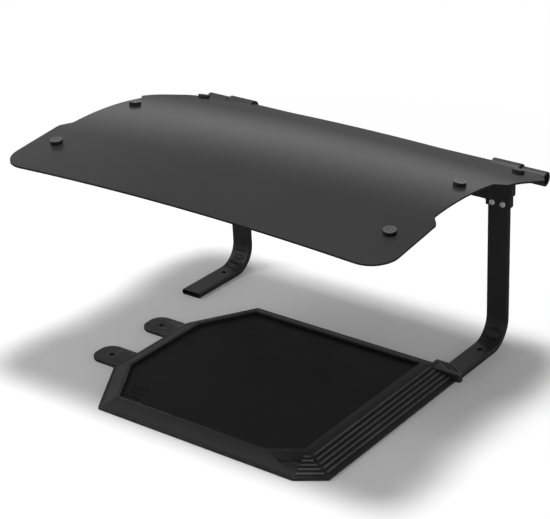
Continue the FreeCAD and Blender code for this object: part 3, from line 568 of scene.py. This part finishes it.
ripple = bpy.data.textures.new("ripple", "CLOUDS")
ripple.noise_scale = 0.0035
for side, word in ((-1, "left"), (1, "right")):
    bpy.ops.mesh.primitive_plane_add(size=1.0)
    bead = bpy.context.object
    bead.data.transform(Matrix.Diagonal((0.0102, 0.0382, 1.0, 1.0)))
    bpy.ops.object.mode_set(mode="EDIT")
    bpy.ops.mesh.select_all(action="SELECT")
    bpy.ops.mesh.bevel(offset=0.003, segments=4, affect="VERTICES")
    bpy.ops.mesh.delete(type="ONLY_FACE")
    bpy.ops.mesh.select_all(action="SELECT")
    bpy.ops.mesh.subdivide(number_cuts=9)
    bpy.ops.object.mode_set(mode="OBJECT")
    bpy.ops.object.convert(target="CURVE")
    bead.data.bevel_depth = 0.0018
    bead.data.bevel_resolution = 4
    bpy.ops.object.convert(target="MESH")
    bead = bpy.context.object
    modify(bead, "DISPLACE", texture=ripple, strength=0.0012, texture_coords="LOCAL")
    upright = Matrix.Translation((side * -0.0222, 0.005, 0.019)) @ Matrix(
        ((0.0, 0.0, 1.0, 0.0), (1.0, 0.0, 0.0, 0.0), (0.0, 1.0, 0.0, 0.0), (0.0, 0.0, 0.0, 1.0))
    )
    bead.data.transform(on_frame(side) @ upright)
    deliver(bead, "weld_bead_" + word, coat.material, "frame_steel", "stand")


# Bolts and domed nuts: M6 with a low round head and a six-sided socket, bright zinc plate
# with fine turning marks. They clamp each bracket through its leg.

BOLT_OFFSET = 0.010
BRACKET_FACE = -0.0022
LEG_BACK = 0.0122

zinc = Paint("bright_zinc", Metallic=0.4)
turning = zinc.noise(700.0, 3.0, 0.6)
tarnish = zinc.noise(240.0, 3.0, 0.6).step(0.5, 0.75)
zinc.finish(
    zinc.blend(tarnish, zinc.blend(turning, grey(0.72), grey(0.90, 0.01)), grey(0.50, 0.04)),
    (turning - 0.5) * 0.2 + tarnish * 0.15 + 0.26,
    turning,
    0.00005,
)
bolt = turned([
    (0.0, -0.0033), (0.0030, -0.0033), (0.0040, -0.0028), (0.0047, -0.0020), (0.0051, -0.0011),
    (0.0052, -0.0004), (0.0050, 0.0), (0.0030, 0.0), (0.0030, 0.0195), (0.0026, 0.0204), (0.0, 0.0204),
])
bpy.ops.mesh.primitive_cylinder_add(vertices=6, radius=0.0023, depth=0.004, location=(0.0, 0.0, -0.0034))
key = bpy.context.object
modify(bolt, "BOOLEAN", object=key, operation="DIFFERENCE", solver="EXACT")
bpy.data.objects.remove(key)
round_edges(bolt, 0.00012, 50.0)

bpy.ops.mesh.primitive_cylinder_add(vertices=6, radius=0.00577, depth=0.005)
hexagon = bpy.context.object
hexagon.data.transform(Matrix.Translation((0.0, 0.0, 0.0025)))
round_edges(hexagon, 0.0004, 40.0)
dome_cap = turned([
    (0.0048, 0.0045), (0.0047, 0.0056), (0.0046, 0.0066), (0.0041, 0.0080), (0.0031, 0.0091),
    (0.0017, 0.0097), (0.0, 0.0098),
], steps=48)
nut = joined([hexagon, dome_cap])

for side, word in ((-1, "left"), (1, "right")):
    for number, across in ((1, -BOLT_OFFSET), (2, BOLT_OFFSET)):
        lying = Matrix.Rotation(math.radians(-90.0), 4, "X")
        head = on_frame(side) @ Matrix.Translation((across, BRACKET_FACE, 0.0)) @ lying
        tail = on_frame(side) @ Matrix.Translation((across, LEG_BACK, 0.0)) @ lying
        name = "leg_bolt_%s_%d" % (word, number)
        deliver(twin(bolt, head), "zinc_" + name, zinc.material, "bright_zinc", "stand", name)
        name = "domed_nut_%s_%d" % (word, number)
        deliver(twin(nut, tail), "zinc_" + name, zinc.material, "bright_zinc", "stand", name)
bpy.data.objects.remove(bolt)
bpy.data.objects.remove(nut)


# Ground plate: one black plastic moulding with a spark-eroded grain, softly rounded edges and
# a patch of small slanted notches in its floor. The upward tops of its treads and rim are paler
# grey in patches, its rim is scuffed, and its sharp edges are paler, partly as wear and partly as a
# painted highlight. Its sunken floor and sharp inner corners are painted darker, as painted shade.
# It lies loose on the ground and is pegged down through its two lugs.

FLOOR_LEVEL = 0.012
PLATE_SIDE = 0.288
CORNER_POINT = (0.243, -0.3001)
CORNER_FACING = (0.579, -0.815)
RIM_SLOPE = 0.2075
RIM_LIP = 0.005

plastic = Paint("plate_plastic", IOR=1.42, Specular_IOR_Level=0.32)
texture = plastic.noise(1300.0, 3.0, 0.6)
patch = plastic.noise(14.0, 4.0, 0.6)
mottle = ((patch - 0.5) * 0.9 + 0.5).clamp()
# Sharp outer edges are made paler in patches: partly edge wear, partly a painted highlight where the rounded
# edges catch the light.
edge_wear_and_highlight = (plastic.edge(0.52, 0.62) * plastic.noise(70.0, 3.0, 0.6).step(0.35, 0.65)).clamp()
x, y, z = plastic.axes()
side_in = PLATE_SIDE - x
corner_in = (y - CORNER_POINT[1]) * -CORNER_FACING[1] - (x - CORNER_POINT[0]) * CORNER_FACING[0]
inward = side_in.math("MINIMUM", corner_in)
raised = (z - (inward - RIM_LIP) * RIM_SLOPE - RIM_LIP).step(0.0004, 0.0009) * plastic.upward(0.5, 0.9)
# The upward tops of the raised treads and rim are made paler grey in mottled patches.
pale_raised_tops = raised * (patch * 0.7 + texture * 0.5)
# The sunken floor, facing up at floor level, is painted darker as painted shade; it is also made rougher.
floor_painted_shade = plastic.upward(0.95, 0.99) * (1.0 - abs(z - FLOOR_LEVEL).step(0.0004, 0.0010))
# Sharp inner corners and grooves take the darker greys too, as painted shade.
plastic.finish(
    plastic.blend(
        (edge_wear_and_highlight * 0.6 * (1.0 - plastic.crevice()) + pale_raised_tops * 0.9).clamp(),
        plastic.blend(
            (floor_painted_shade + plastic.crevice()).clamp(),
            plastic.blend(mottle, grey(0.021), grey(0.032)),
            plastic.blend(mottle, grey(0.006), grey(0.010)),
        ),
        grey(0.15),
    ),
    (patch - 0.5) * 0.2 + (texture - 0.5) * 0.15 + floor_painted_shade * 0.2 + 0.5,
    texture,
    0.00012,
)
plate = merged_copy("ground_plate")
notches = []
for column in range(4):
    for row in range(3):
        bpy.ops.mesh.primitive_cube_add(size=1.0)
        notch = bpy.context.object
        place = (-0.116 + 0.008 * column - 0.003 * row, -0.253 + 0.014 * row, FLOOR_LEVEL)
        notch.data.transform(
            Matrix.Translation(place) @ Matrix.Rotation(math.radians(11.0), 4, "Z")
            @ Matrix.Diagonal((0.0022, 0.0100, 0.0020, 1.0))
        )
        notches.append(notch)
cutter = joined(notches)
modify(plate, "BOOLEAN", object=cutter, operation="DIFFERENCE", solver="EXACT")
bpy.data.objects.remove(cutter)
round_edges(plate, 0.0006, 20.0)
deliver(plate, "moulded_ground_plate", plastic.material, "plate_plastic", "stand", "ground_plate")
